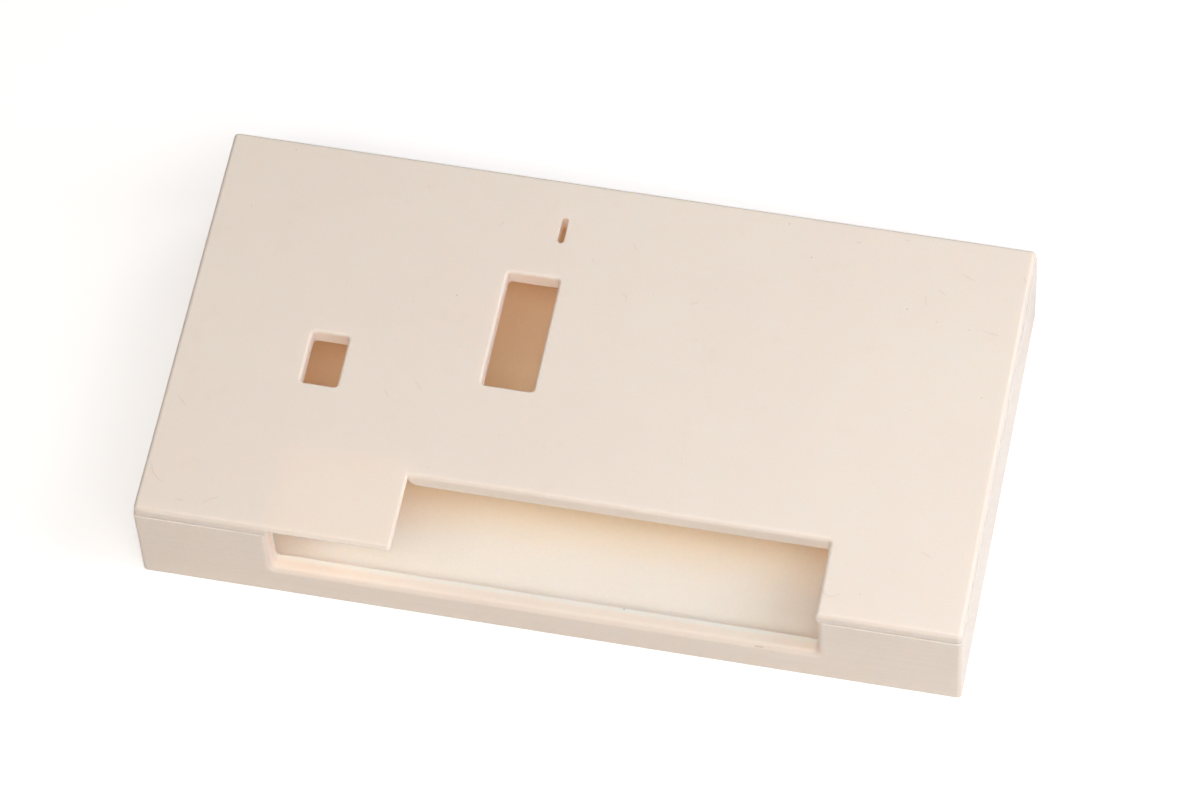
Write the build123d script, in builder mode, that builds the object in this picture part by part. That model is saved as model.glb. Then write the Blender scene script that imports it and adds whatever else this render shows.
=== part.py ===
from build123d import *

import os
from math import radians, tan

# A small two-piece enclosure moulded in cream plastic: an open-fronted tub with
# a low rail, and the flat lid that snaps onto it. All sizes are in millimetres.
# The origin is the middle of the underside, +X runs along the length, +Z is up
# and the open front faces -Y. Places are measured from the left end and from
# the front face.

os.makedirs("parts", exist_ok=True)

# The closed housing
length = 100.45
width = 54.8
height = 14.8
corner_radius = 0.6
draft_angle = 0.1  # degrees, so that tub and core leave the mould

# The tub
wall = 2.35
floor_thickness = 2.2
cavity_corner_radius = 1.2
floor_fillet = 0.6
base_edge_radius = 0.25

# The front opening, cut down to a low rail
opening_from_left = 16.5
opening_width = 66.6
rail_height = 5.25
opening_corner_radius = 0.6
opening_front_radius = 0.8
opening_back_radius = 0.2

# The lid: a flange that sits on the rim and a step that drops inside the walls
flange_thickness = 1.65
step_depth = 0.55
step_clearance = 0.15
lid_inset = 0.15
lid_edge_radius = 0.55

# The thin tab that roofs the opening's left end, and the notch beside it, which
# stops just short of the opening's right end
tab_width = 15.04
tab_thickness = 0.65
notch_depth = 10.4
notch_overhang = 0.3
notch_corner_radius = 0.4
tab_side_radius = 0.3
relief_overrun = 1.5
relief_shoulder_radius = 1.2

# The two windows in the lid, and the fine slot just ahead of the middle between
# the large window and the back face
small_window_from_left = 15.97
small_window_from_front = 20.9
small_window_length = 4.57
small_window_width = 7.25
large_window_from_left = 37.57
large_window_from_front = 24.35
large_window_length = 6.45
large_window_width = 16.2
window_corner_radius = 0.5
window_edge_radius = 0.35
slot_from_left = 42.97
slot_ahead_of_middle = 0.175
slot_length = 3.7
slot_width = 0.85

# The snap hooks under the lid and their recesses in the tub's walls
hook_width = 6.0
hook_thickness = 1.3
hook_length = 5.5
hook_gap = 0.25
nose_height = 1.5
nose_overlap = 0.45
nose_lead_in = 0.9
catch_slope = 0.15
recess_clearance = 0.15
end_hook_from_front = 27.4
back_hook_from_end = 24.0
front_hook_from_end = 8.6

# Levels and edges that follow from the sizes above
left_end = -length / 2
right_end = length / 2
front_face = -width / 2
back_face = width / 2
rim_level = height - flange_thickness
step_level = rim_level - step_depth
opening_left = left_end + opening_from_left
opening_right = opening_left + opening_width
notch_left = opening_left + tab_width
notch_right = opening_right - notch_overhang
notch_back = front_face + notch_depth
relief_back = notch_back + relief_overrun
relief_level = height - tab_thickness
lid_front = front_face + lid_inset
small_window_middle = front_face + small_window_from_front + small_window_width / 2
large_window_middle = front_face + large_window_from_front + large_window_width / 2
large_window_back = large_window_middle + large_window_width / 2
slot_middle = (large_window_back + back_face) / 2 - slot_ahead_of_middle
draft_shift = rim_level * tan(radians(draft_angle))
tolerance = 0.01

# Looking down onto the rim, so that the draft narrows tub and cavity downwards
rim_plane = Plane(origin=(0, 0, rim_level), x_dir=(1, 0, 0), z_dir=(0, 0, -1))


def wall_plane(x, y, outward):
    """A plane across a wall: its x axis points out of the housing, its y axis up."""
    out = Vector(*outward)
    return Plane(origin=(x, y, 0), x_dir=out, z_dir=out.cross(Vector(0, 0, 1)))


# One plane for each hook, with its origin on the wall's inner face at the rim
hook_planes = [
    wall_plane(left_end + wall, front_face + end_hook_from_front, (-1, 0, 0)),
    wall_plane(right_end - wall, front_face + end_hook_from_front, (1, 0, 0)),
    wall_plane(left_end + back_hook_from_end, back_face - wall, (0, 1, 0)),
    wall_plane(right_end - back_hook_from_end, back_face - wall, (0, 1, 0)),
    wall_plane(left_end + front_hook_from_end, front_face + wall, (0, -1, 0)),
    wall_plane(right_end - front_hook_from_end, front_face + wall, (0, -1, 0)),
]
nose_bottom = step_level - hook_length
nose_top = nose_bottom + nose_height


def opening_edges(part, face_at, shift):
    """The edges of the front opening that lie on the wall face between two depths."""
    return (
        part.edges()
        .filter_by_position(Axis.Y, face_at - tolerance, face_at + shift + tolerance)
        .filter_by_position(Axis.X, opening_left - tolerance, opening_right + tolerance)
        .filter_by_position(Axis.Z, rail_height - tolerance, rim_level - tolerance)
    )


def edge_at(part, x, y, z):
    """The one edge that passes through a point."""
    return part.edges().sort_by_distance((x, y, z))[0]


# The tub: floor and four walls in one moulding
with BuildPart() as tub:
    with BuildSketch(rim_plane):
        RectangleRounded(length, width, corner_radius)
    extrude(amount=rim_level, taper=draft_angle)
    fillet(tub.edges().group_by(Axis.Z)[0], radius=base_edge_radius)

    with BuildSketch(rim_plane):
        RectangleRounded(length - 2 * wall, width - 2 * wall, cavity_corner_radius)
    extrude(amount=rim_level - floor_thickness, taper=draft_angle, mode=Mode.SUBTRACT)
    cavity_floor = tub.faces().filter_by(Plane.XY).sort_by(Axis.Z)[1]
    fillet(cavity_floor.edges(), radius=floor_fillet)

    with BuildSketch(Plane.XZ.offset(-front_face)) as opening:
        with Locations((opening_left, rail_height)):
            Rectangle(opening_width, height - rail_height, align=(Align.MIN, Align.MIN))
        fillet(opening.vertices().group_by(Axis.Z)[0], radius=opening_corner_radius)
    extrude(amount=-2 * wall, mode=Mode.SUBTRACT)
    fillet(opening_edges(tub, front_face, draft_shift), radius=opening_front_radius)
    fillet(opening_edges(tub, front_face + wall, draft_shift), radius=opening_back_radius)

    for plane in hook_planes:
        with BuildSketch(plane):
            with Locations((0, nose_bottom - recess_clearance)):
                Rectangle(
                    2 * (nose_overlap + recess_clearance),
                    nose_height + 2 * recess_clearance,
                    align=(Align.CENTER, Align.MIN),
                )
        extrude(amount=hook_width / 2 + recess_clearance, both=True, mode=Mode.SUBTRACT)

tub.part.label = "tub"

# The lid: one flat moulding with a locating step and hooks beneath
with BuildPart() as lid:
    with BuildSketch(Plane.XY.offset(rim_level)):
        RectangleRounded(length - 2 * lid_inset, width - 2 * lid_inset, corner_radius)
    extrude(amount=flange_thickness)

    with BuildSketch(Plane.XY.offset(rim_level)):
        RectangleRounded(
            length - 2 * (wall + step_clearance),
            width - 2 * (wall + step_clearance),
            cavity_corner_radius,
        )
    extrude(amount=-step_depth)

    # The relief that thins the tab, and the notch beside it in the front edge
    with BuildSketch(Plane.XY.offset(step_level)):
        with Locations((opening_left, front_face)):
            Rectangle(tab_width, notch_depth + relief_overrun, align=(Align.MIN, Align.MIN))
    extrude(amount=relief_level - step_level, mode=Mode.SUBTRACT)
    with BuildSketch(Plane.XY.offset(step_level)):
        with Locations((notch_left, front_face)):
            Rectangle(notch_right - notch_left, notch_depth, align=(Align.MIN, Align.MIN))
    extrude(amount=height - step_level, mode=Mode.SUBTRACT)

    # The relief's shoulder, the notch's upright corners and then the top edges
    shoulder_middle = (notch_back + relief_back) / 2
    fillet(edge_at(lid, notch_left, shoulder_middle, step_level), radius=relief_shoulder_radius)
    fillet(edge_at(lid, notch_right, notch_back, rim_level), radius=notch_corner_radius)
    fillet(edge_at(lid, notch_right, lid_front, relief_level), radius=notch_corner_radius)
    tab_middle = (front_face + notch_back) / 2
    fillet(edge_at(lid, 0, back_face, height), radius=lid_edge_radius)
    fillet(edge_at(lid, notch_left, tab_middle, height), radius=tab_side_radius)

    # The windows and the slot, straight through the plate
    with BuildSketch(Plane.XY.offset(height)) as windows:
        with Locations((left_end + small_window_from_left, front_face + small_window_from_front)):
            Rectangle(small_window_length, small_window_width, align=(Align.MIN, Align.MIN))
        with Locations((left_end + large_window_from_left, front_face + large_window_from_front)):
            Rectangle(large_window_length, large_window_width, align=(Align.MIN, Align.MIN))
        fillet(windows.vertices(), radius=window_corner_radius)
    extrude(amount=-(height - step_level), mode=Mode.SUBTRACT)
    window_rims = [
        edge_at(lid, left_end + small_window_from_left, small_window_middle, height),
        edge_at(lid, left_end + large_window_from_left, large_window_middle, height),
    ]
    fillet(window_rims, radius=window_edge_radius)
    with BuildSketch(Plane.XY.offset(height)):
        with Locations((left_end + slot_from_left, slot_middle)):
            SlotOverall(slot_length, slot_width, rotation=90)
    extrude(amount=-(height - step_level), mode=Mode.SUBTRACT)

    # A snap hook at each plane, its tongue just inside the wall and its nose outwards
    for plane in hook_planes:
        with BuildSketch(plane):
            with BuildLine():
                Polyline(
                    (-hook_gap, step_level),
                    (-hook_gap, nose_top),
                    (nose_overlap, nose_top - catch_slope),
                    (nose_overlap, nose_bottom + nose_lead_in),
                    (-hook_gap, nose_bottom),
                    (-hook_gap - hook_thickness, nose_bottom),
                    (-hook_gap - hook_thickness, step_level),
                    close=True,
                )
            make_face()
        extrude(amount=hook_width / 2, both=True)

lid.part.label = "lid"

export_step(tub.part, "parts/tub.step")
export_step(lid.part, "parts/lid.step")
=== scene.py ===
from math import cos, pi, radians, sin

import bmesh
import bpy
from mathutils import Matrix, Vector


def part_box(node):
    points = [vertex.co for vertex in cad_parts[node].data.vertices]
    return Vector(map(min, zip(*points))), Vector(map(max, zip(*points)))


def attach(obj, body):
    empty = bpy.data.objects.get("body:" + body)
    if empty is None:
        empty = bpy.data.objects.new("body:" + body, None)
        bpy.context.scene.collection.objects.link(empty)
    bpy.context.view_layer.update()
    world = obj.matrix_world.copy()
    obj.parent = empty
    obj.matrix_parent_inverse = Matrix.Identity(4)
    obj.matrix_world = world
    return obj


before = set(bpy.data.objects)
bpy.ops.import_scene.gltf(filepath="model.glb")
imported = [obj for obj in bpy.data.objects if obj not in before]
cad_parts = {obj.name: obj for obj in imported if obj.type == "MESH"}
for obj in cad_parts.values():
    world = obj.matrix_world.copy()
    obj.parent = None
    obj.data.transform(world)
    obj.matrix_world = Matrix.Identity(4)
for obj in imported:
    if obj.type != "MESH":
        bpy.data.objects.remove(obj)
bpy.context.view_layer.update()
scene = bpy.context.scene


# --- The lid -------------------------------------------------------------------
# The flat upper moulding, in cream plastic with a fine matt grain from the mould.
# It snaps onto the tub's rim; windows, notch and slot are moulded through it.

mm = 0.001
lid_tone = (0.95, 0.85, 0.77)
dusty_tone = (0.92, 0.81, 0.72)
lid_line_depth = 0.008
half_range = (0.3, 0.7)


def noise_node(nodes, links, place, scale, detail):
    noise = nodes.new("ShaderNodeTexNoise")
    noise.inputs["Scale"].default_value = scale
    noise.inputs["Detail"].default_value = detail
    links.new(place, noise.inputs["Vector"])
    return noise.outputs["Fac"]


def range_node(nodes, links, value, old, new):
    fit = nodes.new("ShaderNodeMapRange")
    fit.interpolation_type = "SMOOTHSTEP"
    for socket, level in zip(("From Min", "From Max", "To Min", "To Max"), (*old, *new)):
        fit.inputs[socket].default_value = level
    links.new(value, fit.inputs["Value"])
    return fit.outputs["Result"]


def math_node(nodes, links, operation, first, second=None):
    step = nodes.new("ShaderNodeMath")
    step.operation = operation
    links.new(first, step.inputs[0])
    if second is not None:
        links.new(second, step.inputs[1])
    return step.outputs["Value"]


def mix_node(nodes, links, factor, first, second, blend="MIX"):
    mix = nodes.new("ShaderNodeMixRGB")
    mix.blend_type = blend
    for socket, value in (("Fac", factor), ("Color1", first), ("Color2", second)):
        if isinstance(value, tuple):
            mix.inputs[socket].default_value = (*value, 1)
        elif isinstance(value, float):
            mix.inputs[socket].default_value = value
        else:
            links.new(value, mix.inputs[socket])
    return mix.outputs["Color"]


def bump_node(nodes, links, height, distance, strength, under=None):
    bump = nodes.new("ShaderNodeBump")
    bump.inputs["Distance"].default_value = distance
    bump.inputs["Strength"].default_value = strength
    links.new(height, bump.inputs["Height"])
    if under is not None:
        links.new(under, bump.inputs["Normal"])
    return bump.outputs["Normal"]


def wall_lines(nodes, links, place, sides):
    """Fine level lines that the cutter left on the mould's walls, and none on level faces."""
    line_stretch = (45, 45, 4200)
    upright = range_node(nodes, links, sides.outputs["Z"], (0.5, 0.2), (0, 1))
    stretch = nodes.new("ShaderNodeMapping")
    stretch.inputs["Scale"].default_value = line_stretch
    links.new(place, stretch.inputs["Vector"])
    lines = noise_node(nodes, links, stretch.outputs["Vector"], 1, 2)
    return math_node(nodes, links, "MULTIPLY", lines, upright)


def painted_edge_shade(nodes, links, sides):
    """Painted shade: rounded edges are darkened in the base colour, standing in for the light they
    lose through their far side, so they stay soft.
    """
    painted_edge_tone = 0.93
    squareness = math_node(nodes, links, "MAXIMUM", sides.outputs["X"], sides.outputs["Y"])
    squareness = math_node(nodes, links, "MAXIMUM", squareness, sides.outputs["Z"])
    return range_node(nodes, links, squareness, (0.75, 0.97), (painted_edge_tone, 1.0))


def moulded_plastic(name, cream_tone, line_depth):
    cloud_scale = 55
    grain_scale = 5200
    lowest_cloud_tone = 0.985
    lowest_grain_tone = 0.97
    bump_height = 0.01 * mm
    grain_bump = 0.35
    line_bump = 5 * line_depth
    material = bpy.data.materials.new(name)
    material.use_nodes = True
    nodes = material.node_tree.nodes
    links = material.node_tree.links
    shader = nodes["Principled BSDF"]
    shader.inputs["IOR"].default_value = 1.5
    shader.inputs["Specular IOR Level"].default_value = 0.2
    shader.inputs["Subsurface Weight"].default_value = 1.0
    shader.inputs["Subsurface Radius"].default_value = (1.0, 0.9, 0.8)
    shader.inputs["Subsurface Scale"].default_value = 0.5 * mm
    place = nodes.new("ShaderNodeTexCoord").outputs["Object"]
    facing = nodes.new("ShaderNodeVectorMath")
    facing.operation = "ABSOLUTE"
    links.new(nodes.new("ShaderNodeTexCoord").outputs["Normal"], facing.inputs[0])
    sides = nodes.new("ShaderNodeSeparateXYZ")
    links.new(facing.outputs["Vector"], sides.inputs["Vector"])

    # Faint clouds in the cream, the mould's fine grain, its wall lines and painted shade on the
    # rounded edges
    clouds = noise_node(nodes, links, place, cloud_scale, 3)
    grain = noise_node(nodes, links, place, grain_scale, 2)
    lines = wall_lines(nodes, links, place, sides)
    shades = (
        range_node(nodes, links, clouds, (0.35, 0.65), (lowest_cloud_tone, 1.0)),
        range_node(nodes, links, grain, half_range, (lowest_grain_tone, 1.0)),
        range_node(nodes, links, lines, half_range, (1.0, 1 - line_depth)),
        painted_edge_shade(nodes, links, sides),
    )
    tone = cream_tone(nodes, links, place)
    for shade in shades:
        tone = mix_node(nodes, links, 1.0, tone, shade, "MULTIPLY")
    links.new(tone, shader.inputs["Base Color"])

    roughness = range_node(nodes, links, clouds, half_range, (0.5, 0.6))
    links.new(roughness, shader.inputs["Roughness"])
    ridges = bump_node(nodes, links, lines, bump_height, line_bump)
    matt = bump_node(nodes, links, grain, bump_height, grain_bump, ridges)
    links.new(matt, shader.inputs["Normal"])
    return material


def lid_cream(nodes, links, place):
    """The cream of the plate, under a thin film of dust in patches."""
    dust_scale = 260
    thickest_film = 0.5
    dust = noise_node(nodes, links, place, dust_scale, 4)
    film = range_node(nodes, links, dust, (0.6, 0.8), (0.0, thickest_film))
    return mix_node(nodes, links, film, lid_tone, dusty_tone)


def underside_glow(material):
    """A weak painted glow from the underside, standing in for the light that comes through the
    plate.
    """
    flange_level = 13.3 * mm
    tab_level = 14.0 * mm
    glow = (0.028, 0.11)  # under the flange, and under the thinner tab
    glow_colour = (1.0, 0.95, 0.85, 1)
    nodes = material.node_tree.nodes
    links = material.node_tree.links
    shader = nodes["Principled BSDF"]
    places = nodes.new("ShaderNodeTexCoord")
    facing = nodes.new("ShaderNodeSeparateXYZ")
    links.new(places.outputs["Normal"], facing.inputs["Vector"])
    split = nodes.new("ShaderNodeSeparateXYZ")
    links.new(places.outputs["Object"], split.inputs["Vector"])
    underside = range_node(nodes, links, facing.outputs["Z"], (-0.5, -0.9), (0, 1))
    strength = range_node(nodes, links, split.outputs["Z"], (flange_level, tab_level), glow)
    strength = math_node(nodes, links, "MULTIPLY", strength, underside)
    links.new(strength, shader.inputs["Emission Strength"])
    shader.inputs["Emission Color"].default_value = glow_colour


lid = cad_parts["lid"]
lid_plastic = moulded_plastic("lid_plastic", lid_cream, lid_line_depth)
underside_glow(lid_plastic)
lid.data.materials.clear()
lid.data.materials.append(lid_plastic)


# --- The tub -------------------------------------------------------------------
# The lower moulding, in the same plastic: floor, walls and the low front rail.
# Inside, light and shade are painted: a lighter cream on the floor by the notch, and a warm brown
# shade deeper under the lid.

tub_tone = (0.975, 0.85, 0.76)
# The next two tones are painted light and painted shade: a lighter cream for the floor by the
# notch, and a warm brown for the shade under the lid.
painted_light_tone = (0.945, 0.935, 0.87)
painted_shade_tone = (1.0, 0.845, 0.65)
tub_line_depth = 0.03


def tub_cream_and_painted_light(nodes, links, place):
    """Cream outside; inside, a lighter cream painted as light on the floor by the notch, and a warm
    brown painted as shade under the lid.
    """
    far_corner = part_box("tub")[1]
    skin = 1.3 * mm
    blur = 0.8 * mm
    split = nodes.new("ShaderNodeSeparateXYZ")
    links.new(place, split.inputs["Vector"])
    inside = range_node(nodes, links, split.outputs["Z"], (skin, skin + blur), (0, 1))
    for axis, reach in (("X", far_corner[0]), ("Y", far_corner[1])):
        size = math_node(nodes, links, "ABSOLUTE", split.outputs[axis])
        within = range_node(nodes, links, size, (reach - skin, reach - skin - blur), (0, 1))
        inside = math_node(nodes, links, "MULTIPLY", inside, within)
    under_notch = -19 * mm
    under_lid = -7 * mm
    depth = range_node(nodes, links, split.outputs["Y"], (under_notch, under_lid), (0, 1))
    painted_inner_tone = mix_node(nodes, links, depth, painted_light_tone, painted_shade_tone)
    return mix_node(nodes, links, inside, tub_tone, painted_inner_tone)


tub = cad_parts["tub"]
tub.data.materials.clear()
tub.data.materials.append(moulded_plastic("tub_plastic", tub_cream_and_painted_light, tub_line_depth))


# --- Lint and dust ---------------------------------------------------------------
# Short textile fibres and specks of dust, a few hundredths of a millimetre thick,
# that lie loose on the matt top and on the rail and cling there by static.

lid_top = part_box("lid")[1][2]
fibre_radius = 0.017 * mm
fibre_steps = 12
fibre_sides = 5


def add_fibre(mesh, x, y, heading, length, bend):
    """A tapered thread on the lid that sets off at a heading and bends along its length."""
    turn = radians(heading)
    step = length * mm / fibre_steps
    place = Vector((x * mm, y * mm, lid_top + 0.6 * fibre_radius))
    rings = []
    for index in range(fibre_steps + 1):
        ahead = Vector((cos(turn), sin(turn), 0))
        side = Vector((-sin(turn), cos(turn), 0))
        taper = 0.5 + 0.5 * sin(pi * index / fibre_steps)
        ring = []
        for corner in range(fibre_sides):
            angle = 2 * pi * corner / fibre_sides
            offset = cos(angle) * side + sin(angle) * Vector((0, 0, 1))
            ring.append(mesh.verts.new(place + taper * fibre_radius * offset))
        rings.append(ring)
        place = place + step * ahead
        turn += radians(bend) / fibre_steps
    for near, far in zip(rings, rings[1:]):
        for corner in range(fibre_sides):
            after = (corner + 1) % fibre_sides
            mesh.faces.new((near[corner], near[after], far[after], far[corner]))
    mesh.faces.new(rings[0])
    mesh.faces.new(list(reversed(rings[-1])))


def add_speck(mesh, x, y, z, radius):
    """A flat grain of dust, longer than wide and half sunk in the surface."""
    speck_width = 0.8
    speck_height = 0.4
    reach = radius * mm
    flat = Matrix.Diagonal((reach, speck_width * reach, speck_height * reach, 1))
    spot = Matrix.Translation((x * mm, y * mm, z)) @ Matrix.Rotation(x + y, 4, "Z") @ flat
    bmesh.ops.create_icosphere(mesh, subdivisions=2, radius=1, matrix=spot)


def finish_piece(name, mesh, material):
    bmesh.ops.recalc_face_normals(mesh, faces=mesh.faces)
    data = bpy.data.meshes.new(name)
    mesh.to_mesh(data)
    mesh.free()
    for face in data.polygons:
        face.use_smooth = True
    piece = bpy.data.objects.new(name, data)
    scene.collection.objects.link(piece)
    data.materials.append(material)
    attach(piece, "root")


def dust_material(name, pale, dark):
    dust_patch_scale = 900
    material = bpy.data.materials.new(name)
    material.use_nodes = True
    nodes = material.node_tree.nodes
    links = material.node_tree.links
    shader = nodes["Principled BSDF"]
    shader.inputs["Roughness"].default_value = 0.9
    shader.inputs["Specular IOR Level"].default_value = 0.1
    place = nodes.new("ShaderNodeTexCoord").outputs["Object"]
    patches = noise_node(nodes, links, place, dust_patch_scale, 2)
    tone = mix_node(nodes, links, patches, pale, dark)
    links.new(tone, shader.inputs["Base Color"])
    return material


# Each fibre: where it starts, which way it heads, its length and how far it bends
lint = bmesh.new()
add_fibre(lint, -49.2, -20.9, -75, 3.2, 60)
add_fibre(lint, -45.3, -25.2, 8, 1.0, -20)
add_fibre(lint, -42.1, -25.3, 55, 2.3, -45)
add_fibre(lint, -48.2, -11.0, -50, 1.6, 12)
add_fibre(lint, -40.6, 15.0, 60, 0.7, 15)
add_fibre(lint, -20.6, -4.1, -40, 1.7, -15)
add_fibre(lint, -23.9, -5.8, -60, 1.3, 20)
add_fibre(lint, -15.1, 19.2, 50, 1.1, 25)
add_fibre(lint, 1.6, 19.9, -70, 1.3, 20)
add_fibre(lint, 1.7, 12.4, -20, 1.4, -95)
add_fibre(lint, 10.0, 12.3, 35, 1.3, -15)
add_fibre(lint, 28.2, 24.6, -20, 0.8, 60)
add_fibre(lint, 34.1, 25.8, 10, 0.7, 30)
add_fibre(lint, 37.8, 18.6, -80, 1.6, 12)
add_fibre(lint, 39.2, 19.6, -35, 1.3, 12)
add_fibre(lint, 41.7, 22.4, -35, 2.0, 22)
add_fibre(lint, 45.5, 14.8, -15, 2.0, 10)
add_fibre(lint, 49.0, 23.3, -60, 1.1, 10)
add_fibre(lint, 32.8, -23.6, -70, 2.8, 140)
add_fibre(lint, 43.2, -16.8, 0, 1.8, -50)
lint_fibre = dust_material("lint_fibre", (0.74, 0.62, 0.5), (0.6, 0.48, 0.38))
finish_piece("lint", lint, lint_fibre)

# Specks of brown dust on the lid: place and size
specks = bmesh.new()
add_speck(specks, -45.6, 16.9, lid_top, 0.06)
add_speck(specks, -42.0, 25.9, lid_top, 0.06)
add_speck(specks, -16.6, -15.5, lid_top, 0.05)
add_speck(specks, -24.7, 23.5, lid_top, 0.05)
add_speck(specks, -18.1, 8.7, lid_top, 0.07)
add_speck(specks, -23.1, 7.0, lid_top, 0.05)
add_speck(specks, -9.0, -9.7, lid_top, 0.05)
add_speck(specks, -2.8, 16.5, lid_top, 0.06)
add_speck(specks, 5.4, 13.0, lid_top, 0.05)
add_speck(specks, 12.7, 15.0, lid_top, 0.05)
add_speck(specks, 11.7, 7.5, lid_top, 0.05)
add_speck(specks, 19.8, 25.8, lid_top, 0.07)
add_speck(specks, 23.3, 21.5, lid_top, 0.08)
add_speck(specks, 36.0, 16.3, lid_top, 0.08)
add_speck(specks, 39.8, 15.1, lid_top, 0.05)
add_speck(specks, 43.8, 14.6, lid_top, 0.05)
add_speck(specks, 46.9, 5.5, lid_top, 0.06)
add_speck(specks, 38.8, 2.3, lid_top, 0.05)
add_speck(specks, 13.2, -9.1, lid_top, 0.05)
add_speck(specks, 37.3, -23.5, lid_top, 0.06)
brown_dust = dust_material("brown_dust", (0.62, 0.45, 0.32), (0.42, 0.28, 0.18))
finish_piece("specks", specks, brown_dust)

# Small marks on the front rail and on the tub's front face
marks = bmesh.new()
rail_top = 5.25 * mm
smudge_drop = 0.35 * mm
smudge_start = 25.4
smudge_step = 0.25
add_speck(marks, 9.0, -25.3, rail_top, 0.09)
for step in range(4):
    add_speck(marks, smudge_start + smudge_step * step, -27.2, rail_top - smudge_drop, 0.12)
add_speck(marks, -47.1, -27.33, 8.1 * mm, 0.08)
add_speck(marks, -42.2, -27.32, 6.0 * mm, 0.09)
finish_piece("marks", marks, brown_dust)


# --- The table and the white surround --------------------------------------------
# A plain white table that keeps the housing's soft shadow. The surround is white
# where it is seen or mirrored, and gives the housing no light of its own.

table_size = 3.0
table_lift = 0.45


def table_paint():
    """White paint, lifted towards pure white for the eye alone."""
    material = bpy.data.materials.new("table_paint")
    material.use_nodes = True
    nodes = material.node_tree.nodes
    links = material.node_tree.links
    paint = nodes["Principled BSDF"]
    paint.inputs["Base Color"].default_value = (0.8, 0.8, 0.8, 1)
    paint.inputs["Roughness"].default_value = 0.9
    paint.inputs["Specular IOR Level"].default_value = 0.0
    eye = nodes.new("ShaderNodeLightPath")
    lift = nodes.new("ShaderNodeEmission")
    only_eye = nodes.new("ShaderNodeMath")
    only_eye.operation = "MULTIPLY"
    only_eye.inputs[1].default_value = table_lift
    links.new(eye.outputs["Is Camera Ray"], only_eye.inputs[0])
    links.new(only_eye.outputs["Value"], lift.inputs["Strength"])
    both = nodes.new("ShaderNodeAddShader")
    links.new(paint.outputs["BSDF"], both.inputs[0])
    links.new(lift.outputs["Emission"], both.inputs[1])
    links.new(both.outputs["Shader"], nodes["Material Output"].inputs["Surface"])
    return material


bpy.ops.mesh.primitive_plane_add(size=table_size)
table = bpy.context.object
table.name = "table"
table.data.materials.append(table_paint())

world = bpy.data.worlds.new("surround")
scene.world = world
world.use_nodes = True
sky_nodes = world.node_tree.nodes
sky_links = world.node_tree.links
backdrop = sky_nodes["Background"]
backdrop.inputs["Color"].default_value = (1, 1, 1, 1)
rays = sky_nodes.new("ShaderNodeLightPath")
shown = rays.outputs["Is Camera Ray"]
for kind in ("Is Glossy Ray", "Is Transmission Ray"):
    shown = math_node(sky_nodes, sky_links, "MAXIMUM", shown, rays.outputs[kind])
sky_links.new(shown, backdrop.inputs["Strength"])


# --- The lamps -------------------------------------------------------------------
# Nine square soft boxes round the housing, brightest from its right end. Each is
# placed by its angle round from the front and its angle up from the table.

lamp_aim = Vector((0, 0, 0.007))
lamp_distance = 0.6
lamp_size = 0.25


def soft_box(name, azimuth, height_angle, strength, colour, distance=lamp_distance, size=lamp_size):
    lamp = bpy.data.lights.new(name, "AREA")
    lamp.shape = "SQUARE"
    lamp.size = size
    lamp.energy = strength * (pi * distance) ** 2
    lamp.color = colour
    box = bpy.data.objects.new(name, lamp)
    scene.collection.objects.link(box)
    turn = radians(azimuth)
    rise = radians(height_angle)
    towards = Vector((sin(turn) * cos(rise), -cos(turn) * cos(rise), sin(rise)))
    box.location = lamp_aim + distance * towards
    box.rotation_euler = towards.to_track_quat("Z", "Y").to_euler()


soft_box("right_box", 75, 45, 0.28, (0.87, 0.92, 1), distance=0.28, size=0.14)
soft_box("left_box", -35, 48, 0.205, (1, 0.95, 0.87))
soft_box("front_right_box", 35, 50, 0.21, (1, 0.96, 0.92))
soft_box("front_box", 0, 63, 0.21, (1, 0.98, 0.93))
soft_box("back_right_box", 150, 35, 0.17, (1, 0.96, 0.94))
soft_box("back_box", 180, 60, 0.06, (1, 0.85, 0.77))
soft_box("side_box", 90, 14, 0.27, (1, 0.97, 1))
soft_box("far_left_box", -75, 55, 0.05, (1, 0.9, 0.95))
soft_box("low_box", 0, 24, 0.04, (1, 0.7, 0.55))


# --- The camera ------------------------------------------------------------------
# A long lens, high in front of the housing and a little to its right.

camera_azimuth = radians(14.819)
camera_height_angle = radians(59.056)
camera_roll = radians(-4.084)
camera_distance = 0.76635
camera_target = Vector((0.000728, 0.001737, 0.007))
camera_data = bpy.data.cameras.new("camera")
camera_data.sensor_fit = "HORIZONTAL"
camera_data.sensor_width = 36
camera_data.lens = 189.26
camera_data.clip_start = 0.01
camera = bpy.data.objects.new("camera", camera_data)
scene.collection.objects.link(camera)
back = Vector((
    sin(camera_azimuth) * cos(camera_height_angle),
    -cos(camera_azimuth) * cos(camera_height_angle),
    sin(camera_height_angle),
))
level_right = Vector((cos(camera_azimuth), sin(camera_azimuth), 0))
level_up = back.cross(level_right)
right = cos(camera_roll) * level_right + sin(camera_roll) * level_up
up = cos(camera_roll) * level_up - sin(camera_roll) * level_right
axes = Matrix((right, up, back)).transposed().to_4x4()
camera.matrix_world = Matrix.Translation(camera_target + camera_distance * back) @ axes
scene.camera = camera

# Enough bounces for light to find its way round the inside
bounces = 24
scene.view_settings.view_transform = "Standard"
scene.cycles.max_bounces = bounces
scene.cycles.diffuse_bounces = bounces
